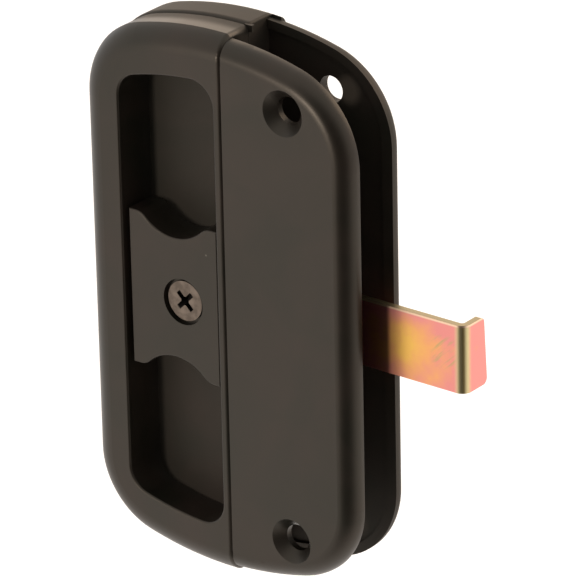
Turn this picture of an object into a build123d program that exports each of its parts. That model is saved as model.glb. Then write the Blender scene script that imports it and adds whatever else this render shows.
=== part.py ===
from build123d import *
import math
import os

os.makedirs("parts", exist_ok=True)

# A screen door latch: two moulded housings that clasp the door stile, a thumb slide in the finger
# pocket of each, and a bent steel hook between them, all moved as one by a screw through both slides.
# X runs from the grip towards the door edge, Y from the outside face inwards, Z up.
# The origin is midway between the mounting holes, on the plane of the stile's outside face.
# Depths below are measured inwards from the face of the outside housing.

# Mounting holes, both housings
hole_spacing = 95.25
hole_radius = 2.9
sink_radius = 4.95
sink_half_angle = 41

# Outlines of the housings: the inside one is a little taller and narrower
outside_end_margin = 11.625
inside_end_margin = 12.055
outside_right = 16.1
inside_right = 15.65
plate_left = 51.71
arch_radius = 79.0
arch_x = -19.4
corner_left = 17.0
corner_right = 19.5

# Depths, from the outside face to the inside face
outside_rim = 4.1
outside_plate = 3.8
outside_pocket_depth = 8.8
outside_floor_wall = 1.15
strip_gap = 0.1
strip_thickness = 1.4
strip_back_gap = 0.3
inside_floor_wall = 1.4
inside_pocket_depth = 5.7
inside_rim = 3.3
inside_plate = 2.6
seam_set_back = 0.65

# Edges of the plates
rim_width = 2.6
inside_rim_top = 1.95
outside_edge_round = 4.0
inside_edge_round = 2.4

# Boxed half under the grip
box_end_x = -15.6
box_proud = 0.92
box_wall = 2.0
face_wall = 2.2
end_wall = 2.3
outside_end_round = 1.1
inside_end_round = 0.6
pillow_radius = 5.6
pillow_width = 5.2
seam_round = 1.3
inside_box_round = 2.8
ledge_length = 2.5
ledge_thickness = 1.65
ledge_round = 0.7
lap_gap = 0.15
tab_length = 1.0
tab_depth = 0.8
tab_height = 1.5
tab_drop = 0.25
notch_width = 0.3
notch_depth = 0.08
notch_half_length = 1.6

# Finger pockets
pocket_end_margin = 9.47
pocket_side_margin = 9.16
pocket_arch_radius = 72.5
pocket_corner = 5.5
pocket_draft = 1.0
pocket_mouth = 0.9
pocket_wall = 1.4
pocket_lip_round = 0.5

# Thumb slides
slide_grip_gap = 1.275
slide_door_gap = 0.3
slide_drop = 0.3
slide_half_height = 17.4
scoop_depth = 3.9
scoop_radius = 10.5
scoop_blend = 3.6
slide_recess = 0.7
slide_edge_round = 0.35
slide_foot_gap = 0.1
boss_size = 8.0
tenon_size = 7.0
slot_clearance = 0.3
travel = 6.0

# Screw through the slides, a little towards the door edge from their middle and below it
screw_offset = 2.2375
screw_drop = 0.4
screw_head_radius = 4.4
screw_radius = 2.0
screw_sunk = 0.65
head_half_angle = 45
well_radius = 5.1
well_depth = 1.3
screw_end_wall = 1.05
screw_rim = 0.15
screw_tip = 0.8
screw_play = 0.2
thread_gap = 0.01
cross_half = 2.55
cross_width = 1.1
cross_depth = 1.9
cross_core = 1.0
cross_angle = 45

# Hook, cut and bent from strip
strip_width = 15.0
hook_reach = 21.14
bend_radius = 0.7
hook_tail = 7.5
tail_corner = 2.0
lip_depth_top = 6.7
lip_depth_bottom = 7.7
lip_corner = 1.3
tenon_gap = 0.05

# Depths that follow from the sizes above
outside_floor = outside_pocket_depth
hook_front = outside_floor + outside_floor_wall + strip_gap
hook_back = hook_front + strip_thickness
inside_cavity = hook_back + strip_back_gap
inside_floor = inside_cavity + inside_floor_wall
total_depth = inside_floor + inside_pocket_depth
seam_depth = outside_floor + seam_set_back

# Places and sizes that follow
hole_places = (hole_spacing / 2, -hole_spacing / 2)
outside_half_height = hole_spacing / 2 + outside_end_margin
inside_half_height = hole_spacing / 2 + inside_end_margin
pocket_left_x = pocket_side_margin - plate_left
pocket_right_x = box_end_x - end_wall
pocket_half_height = outside_half_height - pocket_end_margin
slide_left_x = pocket_left_x + slide_grip_gap
slide_right_x = pocket_right_x - slide_door_gap
slide_mid_x = (slide_left_x + slide_right_x) / 2
slide_half_width = (slide_right_x - slide_left_x) / 2
slide_z = -slide_drop
scoop_apex = slide_half_height - scoop_depth
screw_x = slide_mid_x + screw_offset
screw_z = slide_z - screw_drop
head_slope = math.tan(math.radians(head_half_angle))
screw_length = total_depth - 2 * slide_recess - screw_sunk - screw_end_wall
hook_face_x = outside_right + hook_reach

# Side of a cutting block that is larger than the whole latch
cutter = 200.0


def slab(profile, front, back):
    """Solid of a profile drawn in X and Z, between two depths."""
    return extrude(Plane.XZ.offset(-front) * profile, -(back - front))


def arched(left, right, half, radius, centre_x, left_corner, right_corner):
    """Upright rounded rectangle whose top and bottom edges are shallow arches."""
    upright = Pos((left + right) / 2, 0) * Rectangle(right - left, 2 * half)
    top = Pos(centre_x, half - radius) * Circle(radius)
    bottom = Pos(centre_x, radius - half) * Circle(radius)
    shape = upright & top & bottom
    corners = shape.vertices().sort_by(Axis.X)
    shape = fillet(corners[:2], left_corner)
    corners = shape.vertices().filter_by(lambda v: v.X > right - right_corner / 2)
    return fillet(corners, right_corner)


def outline(half_height, right, grow):
    """Outline of a housing, moved outwards by an amount."""
    return arched(
        -plate_left - grow,
        right + grow,
        half_height + grow,
        arch_radius + grow,
        arch_x,
        corner_left + grow,
        corner_right + grow,
    )


def outside_outline(grow):
    """Outline of the outside housing, moved outwards by an amount."""
    return outline(outside_half_height, outside_right, grow)


def inside_outline(grow):
    """Outline of the inside housing, moved outwards by an amount."""
    return outline(inside_half_height, inside_right, grow)


def arch_height(half_height, radius, x):
    """Height of an outline's top arch at a place along X."""
    return half_height - arch_radius + math.sqrt(radius**2 - (x - arch_x) ** 2)


def pocket(grow, draft=0.0):
    """Outline of a finger pocket, moved outwards by an amount, its grip side moved in by the draft."""
    return arched(
        pocket_left_x - grow + draft,
        pocket_right_x + grow,
        pocket_half_height + grow,
        pocket_arch_radius + grow,
        arch_x,
        pocket_corner + grow,
        pocket_corner + grow,
    )


def pocket_hollow(face, throat, floor):
    """Hollow of a finger pocket: straight at the mouth, then its wall on the grip side leans in."""
    mouth = slab(pocket(0), min(face, throat), max(face, throat))
    near = Plane.XZ.offset(-throat) * pocket(0)
    far = Plane.XZ.offset(-floor) * pocket(0, pocket_draft)
    return mouth + loft([near, far], ruled=True)


def grip_side(solid, end_x):
    """The part of a solid on the grip side of a plane across X."""
    return solid & Pos(end_x - cutter / 2, 0, 0) * Box(cutter, cutter, cutter)


def door_side(solid, start_x):
    """The part of a solid on the door side of a plane across X."""
    return solid & Pos(start_x + cutter / 2, 0, 0) * Box(cutter, cutter, cutter)


def edge_loop(solid, depth):
    """Edges of a solid that lie in the plane at a depth."""
    return solid.edges().filter_by_position(Axis.Y, depth, depth)


def end_edges(box):
    """Edges at the open end of a boxed half."""
    return box.edges().group_by(Axis.X)[-1]


def bore(radius, x, z, front, back):
    """Round bar along Y, for holes."""
    return Pos(x, 0, z) * slab(Circle(radius), front, back)


def countersink(x, z, face, radius, half_angle):
    """Cone that opens at a face, for a flat head."""
    height = radius / math.tan(math.radians(half_angle))
    cone = Cone(radius, 0, height, align=(Align.CENTER, Align.CENTER, Align.MIN))
    return Pos(x, face, z) * Rot(-90, 0, 0) * cone


def slot(front, back):
    """Opening in a pocket floor that lets the slide's boss travel."""
    size = boss_size + 2 * slot_clearance
    shape = Pos(screw_x, screw_z) * Rectangle(size, size + 2 * travel)
    return slab(shape, front, back)


def pocket_lip(body, depth):
    """Edges round the mouth of a pocket, on the face at a depth."""
    inside_x = (pocket_left_x - pocket_wall, pocket_right_x + pocket_lip_round)
    loop = edge_loop(body, depth).filter_by_position(Axis.X, *inside_x)
    return loop.filter_by_position(Axis.Z, -pocket_half_height, pocket_half_height)


def pillowed_box():
    """Boxed half of the outside housing: its face rolls over to a crease on the side walls."""
    spare = pillow_radius - pillow_width
    walls = slab(outside_outline(box_proud), 0, seam_depth)
    roll = slab(outside_outline(box_proud + spare), 0, total_depth)
    roll = fillet(edge_loop(roll, 0), pillow_radius)
    cavity = slab(outside_outline(box_proud - box_wall), face_wall, seam_depth)
    cavity = grip_side(cavity, pocket_right_x)
    box = grip_side(walls & roll, box_end_x)
    return fillet(end_edges(box).filter_by(Axis.Z, reverse=True), outside_end_round) - cavity


def notches():
    """Small nicks in the face where the proud rim of the boxed half runs out, top and bottom."""
    z = arch_height(outside_half_height, arch_radius - outside_edge_round, box_end_x)
    nick = Box(notch_width, 2 * notch_depth, 2 * notch_half_length)
    x = box_end_x + notch_width / 2
    return [Pos(x, 0, side * (z + notch_half_length / 2)) * nick for side in (1, -1)]


def outside_housing():
    """Outside housing: pocketed grip, skirt up to the seam, and the countersunk plate."""
    plate = slab(outside_outline(0), 0, outside_rim)
    plate = fillet(edge_loop(plate, 0), outside_edge_round)
    plate -= slab(outside_outline(-rim_width), outside_plate, outside_rim)
    body = door_side(plate, box_end_x) + pillowed_box()
    body += slab(pocket(pocket_wall), face_wall / 2, outside_floor + outside_floor_wall)
    body -= pocket_hollow(0, pocket_mouth, outside_floor)
    body = fillet(pocket_lip(body, 0), pocket_lip_round)
    body -= slot(outside_floor, outside_floor + outside_floor_wall)
    body -= notches()
    for z in hole_places:
        body -= bore(hole_radius, 0, z, 0, outside_rim)
        body -= countersink(0, z, 0, sink_radius, sink_half_angle)
    return body


def proud_back(front):
    """Solid inside the proud outline, from a depth to the inside face, with its back edge rolled."""
    solid = slab(inside_outline(box_proud), front, total_depth)
    return fillet(edge_loop(solid, total_depth), inside_box_round)


def back_ledge():
    """Proud edge of the inside housing that runs a little past the boxed half on to the plate."""
    end_x = box_end_x + ledge_length
    region = inside_outline(box_proud) & Pos(end_x - cutter / 2, 0) * Rectangle(cutter, cutter)
    region = fillet(region.vertices().group_by(Axis.X)[-1], ledge_round)
    return proud_back(seam_depth) & slab(region, total_depth - ledge_thickness, total_depth)


def locating_tabs():
    """Small tabs at the end of the inside housing's skirt, just behind the seam."""
    tabs = []
    for side in (1, -1):
        skirt_z = arch_height(inside_half_height, arch_radius + box_proud, box_end_x)
        z = side * (skirt_z - tab_drop - tab_height / 2)
        block = Box(2 * tab_length, tab_depth, tab_height)
        tabs.append(Pos(box_end_x, seam_depth + tab_depth / 2, z) * block)
    return tabs


def hook_window():
    """Opening in the end wall of the boxed half, as tall as the hook and its travel."""
    half = strip_width / 2 + travel + slot_clearance
    width = box_end_x - pocket_right_x + 2 * slot_clearance
    shape = Pos((pocket_right_x + box_end_x) / 2, screw_z) * Rectangle(width, 2 * half)
    return slab(shape, seam_depth, inside_cavity)


def inside_housing():
    """Inside housing: a shallower pocket, the rest of the skirt, and the plain-holed plate."""
    plate = slab(inside_outline(0), total_depth - inside_rim, total_depth)
    plate = fillet(edge_loop(plate, total_depth), inside_edge_round) + back_ledge()
    hollow = outline(inside_half_height + rim_width - inside_rim_top, inside_right, -rim_width)
    plate -= slab(hollow, total_depth - inside_rim, total_depth - inside_plate)
    box = proud_back(seam_depth)
    box = fillet(edge_loop(box, seam_depth), seam_round)
    box = grip_side(box, box_end_x)
    box = fillet(end_edges(box).filter_by(Axis.Y), inside_end_round) + locating_tabs()
    cavity = slab(inside_outline(box_proud - box_wall), seam_depth, total_depth - face_wall)
    box -= grip_side(cavity, pocket_right_x)
    lap = slab(pocket(pocket_wall + lap_gap), seam_depth, outside_floor + outside_floor_wall + lap_gap)
    body = door_side(plate, box_end_x) + (box - lap)
    body += slab(pocket(pocket_wall), inside_cavity, total_depth - face_wall / 2)
    body -= pocket_hollow(total_depth, total_depth - pocket_mouth, inside_floor)
    body = fillet(pocket_lip(body, total_depth), pocket_lip_round)
    body -= slot(inside_cavity, inside_floor)
    body -= hook_window()
    for z in hole_places:
        body -= bore(hole_radius, 0, z, 0, total_depth)
    return body


def saddle():
    """Face of a thumb slide: a rectangle with a thumb scoop in its top and bottom edges."""
    scoop_z = scoop_apex + scoop_radius
    shape = Rectangle(2 * slide_half_width, 2 * slide_half_height)
    shape -= Pos(0, scoop_z) * Circle(scoop_radius)
    shape -= Pos(0, -scoop_z) * Circle(scoop_radius)
    horns = shape.vertices().group_by(lambda v: abs(v.X))[0]
    return Pos(slide_mid_x, slide_z) * fillet(horns, scoop_blend)


def square(size):
    """Square on the screw's axis."""
    return Pos(screw_x, screw_z) * Rectangle(size, size)


def outside_slide():
    """Outside thumb slide with its boss, its tenon through the hook, and the screw's sunk bore."""
    foot = outside_floor - slide_foot_gap
    body = slab(saddle(), slide_recess, foot)
    body = fillet(edge_loop(body, slide_recess), slide_edge_round)
    body += slab(square(boss_size), foot, hook_front)
    body += slab(square(tenon_size), hook_front, hook_back)
    body -= bore(screw_radius + screw_play, screw_x, screw_z, 0, hook_back)
    well_floor = slide_recess + well_depth
    seat_radius = screw_head_radius - (well_depth - screw_sunk - screw_rim) * head_slope
    body -= bore(well_radius, screw_x, screw_z, slide_recess, well_floor)
    body -= countersink(screw_x, screw_z, well_floor, seat_radius, head_half_angle)
    return body


def inside_slide():
    """Inside thumb slide, whose boss backs the hook and holds the screw's thread."""
    foot = inside_floor + slide_foot_gap
    body = slab(saddle(), foot, total_depth - slide_recess)
    body = fillet(edge_loop(body, total_depth - slide_recess), slide_edge_round)
    body += slab(square(boss_size), hook_back, foot)
    screw_end = slide_recess + screw_sunk + screw_length
    body -= bore(screw_radius + thread_gap, screw_x, screw_z, hook_back, screw_end)
    return body


def slide_screw():
    """Cross-recessed flat-head screw, head sunk in the outside slide."""
    head_face = slide_recess + screw_sunk
    head_depth = screw_rim + (screw_head_radius - screw_radius) / head_slope
    profile = Polyline(
        (0, 0),
        (screw_head_radius, 0),
        (screw_head_radius, screw_rim),
        (screw_radius, head_depth),
        (screw_radius, screw_length - screw_tip),
        (screw_radius - screw_tip / 2, screw_length),
        (0, screw_length),
        close=True,
    )
    screw = revolve(make_face(profile), Axis.Y)
    on_face = (Align.CENTER, Align.CENTER, Align.MIN)
    arm = Box(2 * cross_half, cross_width, cross_depth, align=on_face)
    cross = arm + Rot(0, 0, 90) * arm
    core = Cone(cross_core, cross_core / 2, cross_depth, align=on_face)
    taper = Cone(cross_half, cross_core, cross_depth, align=on_face)
    recess = (cross & taper) + core
    screw -= Rot(-90, 0, 0) * Rot(0, 0, cross_angle) * recess
    return Pos(screw_x, head_face, screw_z) * screw


def latch_hook():
    """Hook: flat strip along X, bent square to the inside, its free edge cut at a slight slant."""
    tail_x = screw_x - hook_tail
    outer = bend_radius + strip_thickness
    bend_x = hook_face_x - outer
    strip = Box(bend_x - tail_x, strip_thickness, strip_width, align=(Align.MIN, Align.MIN, Align.CENTER))
    strip = Pos(tail_x, hook_front, 0) * strip
    strip = fillet(strip.edges().filter_by(Axis.Y).group_by(Axis.X)[0], tail_corner)
    bend = Sketch() + [Circle(outer) - Circle(bend_radius)]
    bend = bend & Pos(outer / 2, -outer / 2) * Rectangle(outer, outer)
    bend = extrude(Plane.XY * bend, strip_width / 2, both=True)
    bend = Pos(bend_x, hook_front + outer, 0) * bend
    half = strip_width / 2
    start = hook_front + outer
    lip = Polyline(
        (start, -half),
        (hook_front + lip_depth_bottom, -half),
        (hook_front + lip_depth_top, half),
        (start, half),
        close=True,
    )
    lip = make_face(lip)
    lip = fillet(lip.vertices().sort_by(Axis.X)[-2:], lip_corner)
    lip = Pos(hook_face_x - strip_thickness, 0, 0) * extrude(Plane.YZ * lip, strip_thickness)
    hook = Pos(0, 0, screw_z) * (strip + bend + lip)
    return hook - slab(square(tenon_size + 2 * tenon_gap), hook_front, hook_back)


pieces = {
    "outside_housing": outside_housing,
    "inside_housing": inside_housing,
    "outside_slide": outside_slide,
    "inside_slide": inside_slide,
    "slide_screw": slide_screw,
    "latch_hook": latch_hook,
}

for name, make in pieces.items():
    export_step(Pos(0, -outside_rim, 0) * make(), f"parts/{name}.step")
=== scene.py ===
"""Looks of a screen door latch: moulded housings and slides, a plated screw and a yellow-zinc hook."""

import math

import bpy
import numpy as np
from bpy.props import FloatProperty, FloatVectorProperty, PointerProperty
from mathutils import Euler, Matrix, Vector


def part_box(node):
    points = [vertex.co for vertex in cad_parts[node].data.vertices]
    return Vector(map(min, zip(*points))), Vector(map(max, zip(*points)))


bl_info = {
    "name": "Screen Door Latch",
    "version": (1, 0, 0),
    "blender": (4, 5, 0),
    "location": "3D View > Sidebar > Latch",
    "description": "Finishes the pieces of a screen door latch and sets the stage round it",
    "category": "Object",
}

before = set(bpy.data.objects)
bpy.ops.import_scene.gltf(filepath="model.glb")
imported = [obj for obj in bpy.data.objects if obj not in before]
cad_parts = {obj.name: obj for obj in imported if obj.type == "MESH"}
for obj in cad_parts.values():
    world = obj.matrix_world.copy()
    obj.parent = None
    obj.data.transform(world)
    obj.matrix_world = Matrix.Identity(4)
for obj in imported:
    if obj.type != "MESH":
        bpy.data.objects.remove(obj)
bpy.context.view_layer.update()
MM = 0.001

# Places that the finishes follow, in metres: the face of the screw's head, the top of the hook's strip,
# and the crown of its bend, where X and Y add up to the same as at the square corner that it rounds off.
SCREW_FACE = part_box("slide_screw")[0].y
HOOK_LEAST, HOOK_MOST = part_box("latch_hook")
STRIP_TOP = HOOK_MOST.z
BEND_CROWN = HOOK_MOST.x + HOOK_LEAST.y

# Soft boxes: place and edge in metres, power in watts, colour. The one behind lights the tops of the
# skirts, the small one draws a thin streak along the rolled edges, and the one at the side lights the
# inside plate's rim and the hook's lip.
LAMPS = {
    "soft box behind": ((-0.60, 0.78, 0.52), 0.9, 3.0, "#ffdcb4"),
    "small soft box low in front": ((-0.28, -0.85, 0.0), 0.12, 2.2, "#fff6ee"),
    "soft box at the side": ((0.40, 0.78, 0.52), 0.8, 6.0, "#ffe6cc"),
}
LAMP_TARGET = (-0.018, 0.0, 0.0)


def linear(code):
    """Linear red, green and blue of an sRGB hex colour."""
    values = (int(code[i:i + 2], 16) / 255 for i in (1, 3, 5))
    return tuple(v / 12.92 if v <= 0.04045 else ((v + 0.055) / 1.055) ** 2.4 for v in values)


def add(tree, kind, inputs=None, stops=None, **settings):
    """Adds a shader node with its settings, its ramp's stops, and a value or a link for each input."""
    node = tree.nodes.new("ShaderNode" + kind)
    for name, value in settings.items():
        setattr(node, name, value)
    if stops:
        ramp = node.color_ramp.elements
        while len(ramp) < len(stops):
            ramp.new(1.0)
        for element, (place, colour) in zip(ramp, stops):
            element.position = place
            element.color = (*colour, 1.0)
    for name, value in (inputs or {}).items():
        socket = node.inputs[name]
        if isinstance(value, bpy.types.NodeSocket):
            tree.links.new(value, socket)
        elif socket.type == "RGBA":
            socket.default_value = (*value, 1.0)
        else:
            socket.default_value = value
    return node


def new_material(name):
    """An empty node material and its tree."""
    material = bpy.data.materials.new(name)
    material.use_nodes = True
    material.node_tree.nodes.clear()
    return material, material.node_tree


def dress(material, *names):
    """Gives a material to whole pieces."""
    for name in names:
        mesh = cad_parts[name].data
        mesh.materials.clear()
        mesh.materials.append(material)


class LatchPlastic(bpy.types.PropertyGroup):
    """Moulded plastic of the housings and the thumb slides."""

    colour: FloatVectorProperty(
        name="Colour", description="Colour of the plastic",
        subtype="COLOR", default=linear("#11110c"), min=0, max=1)
    cloud: FloatVectorProperty(
        name="Cloud", description="Colour of the faint clouds in the moulded skin",
        subtype="COLOR", default=linear("#1f1713"), min=0, max=1)
    cloud_size: FloatProperty(
        name="Cloud size", description="Width of a cloud",
        unit="LENGTH", default=16 * MM, min=1 * MM)
    sheen: FloatVectorProperty(
        name="Sheen", description="Tint of the skin's reflections",
        subtype="COLOR", default=linear("#fff0dc"), min=0, max=1)
    dust: FloatVectorProperty(
        name="Dust", description="Colour of the odd specks of dust",
        subtype="COLOR", default=linear("#5f5a52"), min=0, max=1)
    dust_spacing: FloatProperty(
        name="Dust spacing", description="Distance between the places where a speck may lie",
        unit="LENGTH", default=9 * MM, min=1 * MM)
    roughness: FloatProperty(
        name="Roughness", description="Roughness of the moulded skin",
        subtype="FACTOR", default=0.35, min=0, max=1)
    pocket_roughness: FloatProperty(
        name="Pocket roughness", description="Roughness deep in the finger pocket",
        subtype="FACTOR", default=0.62, min=0, max=1)
    grain: FloatProperty(
        name="Grain", description="Width of the mould's fine grain",
        unit="LENGTH", default=0.35 * MM, min=0.1 * MM, precision=5)
    grain_height: FloatProperty(
        name="Grain height", description="Height of the grain",
        unit="LENGTH", default=0.008 * MM, min=0, precision=6)


class LatchScrew(bpy.types.PropertyGroup):
    """Dark-plated steel of the screw."""

    colour: FloatVectorProperty(
        name="Colour", description="Colour of the plating",
        subtype="COLOR", default=linear("#786b60"), min=0, max=1)
    # The colour below is painted shade: near-black plating drawn down in the cross slots of the head,
    # where light does not reach.
    recess_shade: FloatVectorProperty(
        name="Recess", description="Colour of the plating down in the cross recess",
        subtype="COLOR", default=linear("#1c1917"), min=0, max=1)
    mottle_size: FloatProperty(
        name="Mottle size", description="Width of the mottled patches in the film",
        unit="LENGTH", default=1.6 * MM, min=0.1 * MM, precision=5)
    roughness: FloatProperty(
        name="Roughness", description="Roughness of the plating",
        subtype="FACTOR", default=0.38, min=0, max=1)


class LatchHook(bpy.types.PropertyGroup):
    """Yellow zinc on the steel strip of the hook."""

    gold: FloatVectorProperty(
        name="Gold", description="Colour where the film is thin",
        subtype="COLOR", default=linear("#f3bf62"), min=0, max=1)
    orange: FloatVectorProperty(
        name="Orange", description="Colour of the film between gold and pink",
        subtype="COLOR", default=linear("#eeaa70"), min=0, max=1)
    pink: FloatVectorProperty(
        name="Pink", description="Colour where the film is thick",
        subtype="COLOR", default=linear("#e6928b"), min=0, max=1)
    olive: FloatVectorProperty(
        name="Olive", description="Colour of the rub marks and the crown of the bend",
        subtype="COLOR", default=linear("#bca672"), min=0, max=1)
    bend: FloatVectorProperty(
        name="Bend", description="Colour of the film round the bend",
        subtype="COLOR", default=linear("#d8c796"), min=0, max=1)
    # The colour below is a painted highlight: the light caught along the rounded corner under the cut
    # edge.
    corner_highlight: FloatVectorProperty(
        name="Burnish", description="Colour of the burnished corner of the cut edge",
        subtype="COLOR", default=linear("#efcfb0"), min=0, max=1)
    edge: FloatVectorProperty(
        name="Edge", description="Colour of the cut edge",
        subtype="COLOR", default=linear("#857a5c"), min=0, max=1)
    gold_place: FloatVectorProperty(
        name="Gold place", description="Middle of the gold patch",
        subtype="TRANSLATION", default=(23.0 * MM, HOOK_LEAST.y, -1.5 * MM))
    roughness: FloatProperty(
        name="Roughness", description="Roughness of the plating",
        subtype="FACTOR", default=0.34, min=0, max=1)


class LatchStage(bpy.types.PropertyGroup):
    """Floor, pale room and camera."""

    floor: FloatVectorProperty(
        name="Floor", description="Colour of the floor",
        subtype="COLOR", default=linear("#e6e6e6"), min=0, max=1)
    floor_width: FloatProperty(
        name="Floor width", description="Width of the square floor",
        unit="LENGTH", default=8.0, min=1.0)
    drop: FloatProperty(
        name="Floor drop", description="Height of the latch's middle above the floor",
        unit="LENGTH", default=0.28, min=0.07)
    lift: FloatProperty(
        name="Floor lift", description="How much the floor is lifted towards white in view",
        subtype="FACTOR", default=0.3, min=0, max=1)
    room: FloatProperty(
        name="Room", description="Strength of the pale room on matt surfaces",
        subtype="FACTOR", default=0.8, min=0, max=1)
    dark_side: FloatVectorProperty(
        name="Dark side", description="Direction of the unlit part of the room",
        subtype="DIRECTION", default=(0.452, -0.888, -0.087))
    camera_place: FloatVectorProperty(
        name="Camera", description="Place of the camera",
        subtype="TRANSLATION", default=(0.595195, -0.766285, 0.437890))
    camera_turn: FloatVectorProperty(
        name="Camera turn", description="Turn of the camera",
        subtype="EULER", default=tuple(math.radians(a) for a in (66.1117, 1.1312, 37.4599)))
    lens: FloatProperty(
        name="Lens", description="Focal length in millimetres",
        default=326.8, min=20)


def moulded_abs():
    """Moulded black ABS, spark-eroded in the mould.

    To the eye it is a near-black satin skin, with faint warm clouds where it cooled unevenly, a fine
    grain that softens every reflection, odd specks of dust, and a rougher finish deep in the pockets.
    """
    look = bpy.context.scene.latch_plastic
    dark_until, cloudy_from = 0.35, 0.7
    smooth_until, rough_from = 0.3, 0.7
    smoother, rougher = 0.02, 0.04
    pocket_start, pocket_deep = 1.0 * MM, 4.0 * MM
    speck_core, speck_rim = 0.016, 0.03
    clean_share = 0.6

    material, tree = new_material("moulded black ABS")
    place = add(tree, "TexCoord").outputs["Object"]
    clouds = add(tree, "TexNoise", {"Vector": place, "Scale": 1 / look.cloud_size, "Detail": 3.0,
                                    "Distortion": 0.6}).outputs["Fac"]
    base = add(tree, "ValToRGB", {"Fac": clouds},
               stops=((dark_until, look.colour), (cloudy_from, look.cloud))).outputs["Color"]

    # The clouds are a little rougher than the skin between them, and the depth along Y tells the pocket.
    patchy = add(tree, "MapRange", {"Value": clouds, "From Min": smooth_until, "From Max": rough_from,
                                    "To Min": look.roughness - smoother,
                                    "To Max": look.roughness + rougher})
    depth = add(tree, "SeparateXYZ", {"Vector": place}).outputs["Y"]
    rough = add(tree, "MapRange", {"Value": depth, "From Min": pocket_start, "From Max": pocket_deep,
                                   "To Min": patchy.outputs["Result"], "To Max": look.pocket_roughness},
                interpolation_type="SMOOTHSTEP")

    # A speck is the middle of a cell, and its radius is a share of the spacing. Most cells stay clean.
    cells = add(tree, "TexVoronoi", {"Vector": place, "Scale": 1 / look.dust_spacing})
    speck = add(tree, "MapRange", {"Value": cells.outputs["Distance"], "From Min": speck_core,
                                   "From Max": speck_rim, "To Min": 1.0, "To Max": 0.0})
    chance = add(tree, "SeparateColor", {"Color": cells.outputs["Color"]}).outputs["Red"]
    dusty = add(tree, "Math", {0: chance, 1: clean_share}, operation="GREATER_THAN")
    speck = add(tree, "Math", {0: speck.outputs["Result"], 1: dusty.outputs[0]}, operation="MULTIPLY")
    base = add(tree, "Mix", {0: speck.outputs[0], 6: base, 7: look.dust}, data_type="RGBA")

    # A real spark-eroded grain is under 0.1 mm wide, too fine to show, so it is drawn coarser.
    fine = add(tree, "TexNoise", {"Vector": place, "Scale": 1 / look.grain, "Detail": 1.0})
    grain = add(tree, "Bump", {"Height": fine.outputs["Fac"], "Strength": 1.0,
                               "Distance": look.grain_height})

    skin = add(tree, "BsdfPrincipled", {"Base Color": base.outputs[2], "IOR": 1.5,
                                        "Specular Tint": look.sheen,
                                        "Roughness": rough.outputs["Result"],
                                        "Normal": grain.outputs["Normal"]})
    add(tree, "OutputMaterial", {"Surface": skin.outputs["BSDF"]})
    return material


def plated_steel():
    """Dark-plated steel, tumbled in its plating barrel.

    To the eye it is a brown-grey metal whose film is mottled on the head's face, with painted shade
    making the cross slots near black.
    """
    look = bpy.context.scene.latch_screw
    dark_share = 0.6
    dark_until, bright_from = 0.35, 0.65
    recess_start, recess_deep = SCREW_FACE + 0.03 * MM, SCREW_FACE + 0.2 * MM

    material, tree = new_material("dark plated steel")
    place = add(tree, "TexCoord").outputs["Object"]
    mottle = add(tree, "TexNoise", {"Vector": place, "Scale": 1 / look.mottle_size, "Detail": 4.0})
    film = add(tree, "ValToRGB", {"Fac": mottle.outputs["Fac"]},
               stops=((dark_until, look.colour * dark_share), (bright_from, look.colour)))
    # Deeper than the head's face the plating turns to that near-black colour: painted shade in the cross
    # slots.
    depth = add(tree, "SeparateXYZ", {"Vector": place}).outputs["Y"]
    recess_shade_share = add(tree, "MapRange", {"Value": depth, "From Min": recess_start, "From Max": recess_deep})
    film = add(tree, "Mix", {0: recess_shade_share.outputs["Result"], 6: film.outputs["Color"], 7: look.recess_shade},
               data_type="RGBA")
    skin = add(tree, "BsdfPrincipled", {"Base Color": film.outputs[2], "Metallic": 1.0,
                                        "Roughness": look.roughness})
    add(tree, "OutputMaterial", {"Surface": skin.outputs["BSDF"]})
    return material


def band(tree, value, low, high, soft):
    """1 where a value lies between two bounds, falling to 0 over a soft distance beyond each."""
    rise = add(tree, "MapRange", {"Value": value, "From Min": low - soft, "From Max": low})
    fall = add(tree, "MapRange", {"Value": value, "From Min": high, "From Max": high + soft,
                                  "To Min": 1.0, "To Max": 0.0})
    return add(tree, "Math", {0: rise.outputs["Result"], 1: fall.outputs["Result"]},
               operation="MULTIPLY").outputs[0]


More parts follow.
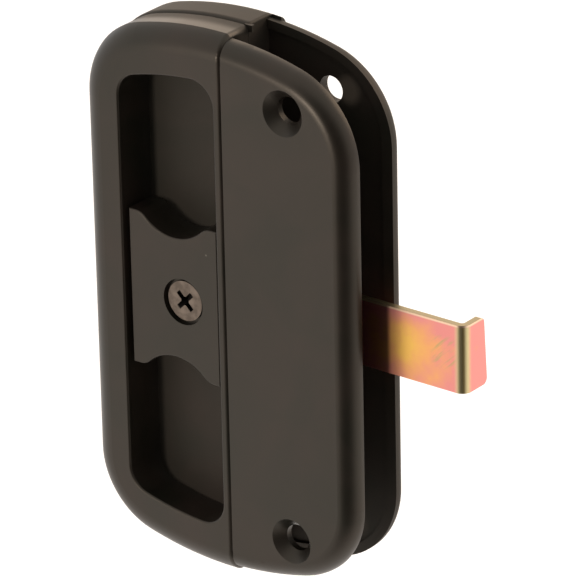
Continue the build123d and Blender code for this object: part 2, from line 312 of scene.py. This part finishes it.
def yellow_zinc():
    """Yellow-zinc plated steel, dipped after it was bent.

    To the eye it is a satin metal under a coloured film: gold at the middle of the strip, orange and then
    pink towards its edges, olive round the bend and in the slanting rub marks beside it.
    """
    look = bpy.context.scene.latch_hook
    drift_size = 5 * MM
    drift_share = 0.68
    gold_until, orange_at, pink_from = 0.38, 0.58, 0.86
    reach_x, reach_z = 25 * MM, 16.25 * MM
    mark_length, mark_width = 5.893 * MM, 0.7857 * MM
    mark_low, mark_high, mark_strength = 0.5, 0.66, 0.75
    marks_x, marks_z, marks_soft = (30.0 * MM, 34.5 * MM), (-2.5 * MM, 2.5 * MM), 1.5 * MM

    material, tree = new_material("yellow zinc plated steel")
    place = add(tree, "TexCoord").outputs["Object"]
    axes = add(tree, "SeparateXYZ", {"Vector": place}).outputs
    drift = add(tree, "TexNoise", {"Vector": place, "Scale": 1 / drift_size, "Detail": 6.0})

    # The film thickens with the distance from the gold patch in X and Z, and noise makes it wander.
    away = add(tree, "VectorMath", {0: place, 1: look.gold_place}, operation="SUBTRACT")
    away = add(tree, "VectorMath", {0: away.outputs["Vector"], 1: (1 / reach_x, 0.0, 1 / reach_z)},
               operation="MULTIPLY")
    ring = add(tree, "VectorMath", {0: away.outputs["Vector"]}, operation="LENGTH")
    thick = add(tree, "Math", {0: drift.outputs["Fac"], 1: drift_share, 2: ring.outputs["Value"]},
                operation="MULTIPLY_ADD")
    film = add(tree, "ValToRGB", {"Fac": thick.outputs[0]},
               stops=((gold_until, look.gold), (orange_at, look.orange), (pink_from, look.pink)))
    film = film.outputs["Color"]

    # The rub marks are noise stretched along the diagonal of X and Z, kept to a patch before the bend.
    slant = math.sqrt(0.5)
    along = add(tree, "VectorMath", {0: place, 1: (slant / mark_length, 0.0, slant / mark_length)},
                operation="DOT_PRODUCT")
    across = add(tree, "VectorMath", {0: place, 1: (-slant / mark_width, 0.0, slant / mark_width)},
                 operation="DOT_PRODUCT")
    slanted = add(tree, "CombineXYZ", {"X": along.outputs["Value"], "Y": across.outputs["Value"]})
    rub = add(tree, "TexNoise", {"Vector": slanted.outputs["Vector"], "Scale": 1.0, "Detail": 2.0})
    rubbed = add(tree, "MapRange", {"Value": rub.outputs["Fac"], "From Min": mark_low,
                                    "From Max": mark_high, "To Max": mark_strength})
    patch = add(tree, "Math", {0: band(tree, axes["X"], *marks_x, marks_soft),
                               1: band(tree, axes["Z"], *marks_z, marks_soft)}, operation="MULTIPLY")
    rubbed = add(tree, "Math", {0: rubbed.outputs["Result"], 1: patch.outputs[0]}, operation="MULTIPLY")

    # The way round the bend is X and Y added up. The cut top edge is thinly plated and dull, with a pale
    # painted highlight along the rounded corner under it. A band has what it is measured along, its
    # start, its end, how soft they are, and its colour.
    way = add(tree, "Math", {0: axes["X"], 1: axes["Y"]}).outputs[0]
    bands = (
        (way, BEND_CROWN - 1.59 * MM, BEND_CROWN + 1.21 * MM, 1.1 * MM, look.bend),
        (way, BEND_CROWN - 0.39 * MM, BEND_CROWN + 0.01 * MM, 0.3 * MM, look.olive),
        (axes["Z"], STRIP_TOP - 0.4 * MM, STRIP_TOP - 0.1 * MM, 0.15 * MM, look.corner_highlight),
        (axes["Z"], STRIP_TOP - 0.02 * MM, STRIP_TOP + 1.0 * MM, 0.03 * MM, look.edge),
    )
    layers = [(rubbed.outputs[0], look.olive)]
    layers += [(band(tree, value, low, high, soft), colour) for value, low, high, soft, colour in bands]
    for share, colour in layers:
        film = add(tree, "Mix", {0: share, 6: film, 7: colour}, data_type="RGBA").outputs[2]

    skin = add(tree, "BsdfPrincipled", {"Base Color": film, "Metallic": 1.0, "Roughness": look.roughness})
    add(tree, "OutputMaterial", {"Surface": skin.outputs["BSDF"]})
    return material


class LATCH_OT_housings(bpy.types.Operator):
    """Finish the housings and the thumb slides in moulded black ABS."""

    bl_idname = "latch.housings"
    bl_label = "Finish housings"

    def execute(self, context):
        dress(moulded_abs(), "outside_housing", "inside_housing", "outside_slide", "inside_slide")
        return {"FINISHED"}


class LATCH_OT_screw(bpy.types.Operator):
    """Finish the slide screw in dark-plated steel."""

    bl_idname = "latch.screw"
    bl_label = "Finish screw"

    def execute(self, context):
        dress(plated_steel(), "slide_screw")
        return {"FINISHED"}


class LATCH_OT_hook(bpy.types.Operator):
    """Finish the hook in yellow zinc."""

    bl_idname = "latch.hook"
    bl_label = "Finish hook"

    def execute(self, context):
        dress(yellow_zinc(), "latch_hook")
        return {"FINISHED"}


def lamp(name, place, edge, watts, colour):
    """A square soft box at a place, facing the latch."""
    data = bpy.data.lights.new(name, "AREA")
    data.size = edge
    data.energy = watts
    data.color = linear(colour)
    piece = bpy.data.objects.new(name, data)
    piece.location = place
    away = np.array(place) - np.array(LAMP_TARGET)
    across = math.hypot(away[0], away[1])
    piece.rotation_euler = (math.atan2(across, away[2]), 0, math.atan2(away[0], -away[1]))
    bpy.context.scene.collection.objects.link(piece)


def room_tone(tree, direction):
    """Brightness of the room in a direction, for gloss alone: pale all round, but for one unlit side.

    It follows the cosine of the angle from the middle of that side, between the two that are named here.
    """
    look = bpy.context.scene.latch_stage
    pale_cosine, black_cosine = 0.33, 0.97
    ray = add(tree, "VectorMath", {0: direction}, operation="NORMALIZE")
    facing = add(tree, "VectorMath", {0: ray.outputs["Vector"], 1: look.dark_side},
                 operation="DOT_PRODUCT")
    return add(tree, "MapRange", {"Value": facing.outputs["Value"], "From Min": pale_cosine,
                                  "From Max": black_cosine, "To Min": 1.0, "To Max": 0.0},
               interpolation_type="SMOOTHSTEP").outputs["Result"]


def shown(tree):
    """Outputs of a Light Path node, and 1 for the rays by which the camera sees the background."""
    rays = add(tree, "LightPath").outputs
    seen = add(tree, "Math", {0: rays["Is Camera Ray"], 1: rays["Is Transmission Ray"]},
               operation="MAXIMUM")
    return rays, seen.outputs[0]


def white_board():
    """Matt white board under the latch.

    It keeps the shadow, is lifted to white where it is seen, and reflects as dark on the unlit side.
    """
    look = bpy.context.scene.latch_stage
    material, tree = new_material("matt white board")
    rays, seen = shown(tree)
    seen = add(tree, "Math", {0: seen, 1: rays["Is Glossy Ray"]}, operation="MAXIMUM")
    lift = add(tree, "Math", {0: seen.outputs[0], 1: look.lift}, operation="MULTIPLY")
    skin = add(tree, "BsdfDiffuse", {"Color": look.floor})
    glow = add(tree, "Emission", {"Strength": lift.outputs[0]})
    lifted = add(tree, "AddShader", {0: skin.outputs[0], 1: glow.outputs[0]})
    tone = room_tone(tree, add(tree, "TexCoord").outputs["Object"])
    dim = add(tree, "Math", {0: 1.0, 1: tone}, operation="SUBTRACT")
    dim = add(tree, "Math", {0: dim.outputs[0], 1: rays["Is Glossy Ray"]}, operation="MULTIPLY")
    black = add(tree, "BsdfDiffuse", {"Color": (0.0, 0.0, 0.0)})
    board = add(tree, "MixShader", {0: dim.outputs[0], 1: lifted.outputs[0], 2: black.outputs[0]})
    add(tree, "OutputMaterial", {"Surface": board.outputs[0]})
    return material


def pale_room():
    """World of an even pale room, white where it is seen."""
    look = bpy.context.scene.latch_stage
    world = bpy.data.worlds.new("pale room")
    world.use_nodes = True
    tree = world.node_tree
    tree.nodes.clear()
    rays, seen = shown(tree)
    tone = room_tone(tree, add(tree, "TexCoord").outputs["Generated"])
    matt = add(tree, "MapRange", {"Value": seen, "To Min": look.room, "To Max": 1.0})
    strength = add(tree, "Mix", {0: rays["Is Glossy Ray"], 2: matt.outputs["Result"], 3: tone})
    sky = add(tree, "Background", {"Color": (1.0, 1.0, 1.0), "Strength": strength.outputs[0]})
    add(tree, "OutputWorld", {"Surface": sky.outputs[0]})
    return world


def lay_floor(width, drop):
    """A square floor, centred under the latch."""
    half = width / 2
    corners = [(x * half, y * half, -drop) for x, y in ((-1, -1), (1, -1), (1, 1), (-1, 1))]
    mesh = bpy.data.meshes.new("floor")
    mesh.from_pydata(corners, [], [(0, 1, 2, 3)])
    mesh.materials.append(white_board())
    floor = bpy.data.objects.new("floor", mesh)
    bpy.context.scene.collection.objects.link(floor)


def aim_camera(place, turn, lens):
    """The camera that takes the picture."""
    data = bpy.data.cameras.new("camera")
    data.lens = lens
    data.sensor_width = 36.0
    data.clip_start = 0.05
    camera = bpy.data.objects.new("camera", data)
    camera.location = place
    camera.rotation_euler = Euler(turn, "XYZ")
    bpy.context.scene.collection.objects.link(camera)
    bpy.context.scene.camera = camera


class LATCH_OT_stage(bpy.types.Operator):
    """Set the floor, the pale room, the soft boxes and the camera."""

    bl_idname = "latch.stage"
    bl_label = "Set the stage"

    def execute(self, context):
        look = context.scene.latch_stage
        context.scene.view_settings.view_transform = "Standard"
        lay_floor(look.floor_width, look.drop)
        context.scene.world = pale_room()
        for name, settings in LAMPS.items():
            lamp(name, *settings)
        aim_camera(look.camera_place, look.camera_turn, look.lens)
        return {"FINISHED"}


class LATCH_PT_panel(bpy.types.Panel):
    """Lists the sizes, the colours and the steps of the latch."""

    bl_idname = "LATCH_PT_panel"
    bl_label = "Screen Door Latch"
    bl_space_type = "VIEW_3D"
    bl_region_type = "UI"
    bl_category = "Latch"

    def draw(self, context):
        for group, operator in STEPS.items():
            box = self.layout.box()
            settings = getattr(context.scene, group)
            for name in settings.bl_rna.properties.keys():
                if name not in ("rna_type", "name"):
                    box.prop(settings, name)
            box.operator(operator.bl_idname)


GROUPS = {
    "latch_plastic": LatchPlastic,
    "latch_screw": LatchScrew,
    "latch_hook": LatchHook,
    "latch_stage": LatchStage,
}
STEPS = {
    "latch_plastic": LATCH_OT_housings,
    "latch_screw": LATCH_OT_screw,
    "latch_hook": LATCH_OT_hook,
    "latch_stage": LATCH_OT_stage,
}
CLASSES = (*GROUPS.values(), *STEPS.values(), LATCH_PT_panel)


def register():
    """Registers the classes and gives the scene its groups of settings."""
    for item in CLASSES:
        bpy.utils.register_class(item)
    for name, group in GROUPS.items():
        setattr(bpy.types.Scene, name, PointerProperty(type=group))


def unregister():
    """Takes back what register gave."""
    for name in GROUPS:
        delattr(bpy.types.Scene, name)
    for item in reversed(CLASSES):
        bpy.utils.unregister_class(item)


def main():
    """Dresses the latch and sets the stage."""
    register()
    bpy.ops.latch.housings()
    bpy.ops.latch.screw()
    bpy.ops.latch.hook()
    bpy.ops.latch.stage()


if __name__ == "__main__":
    main()
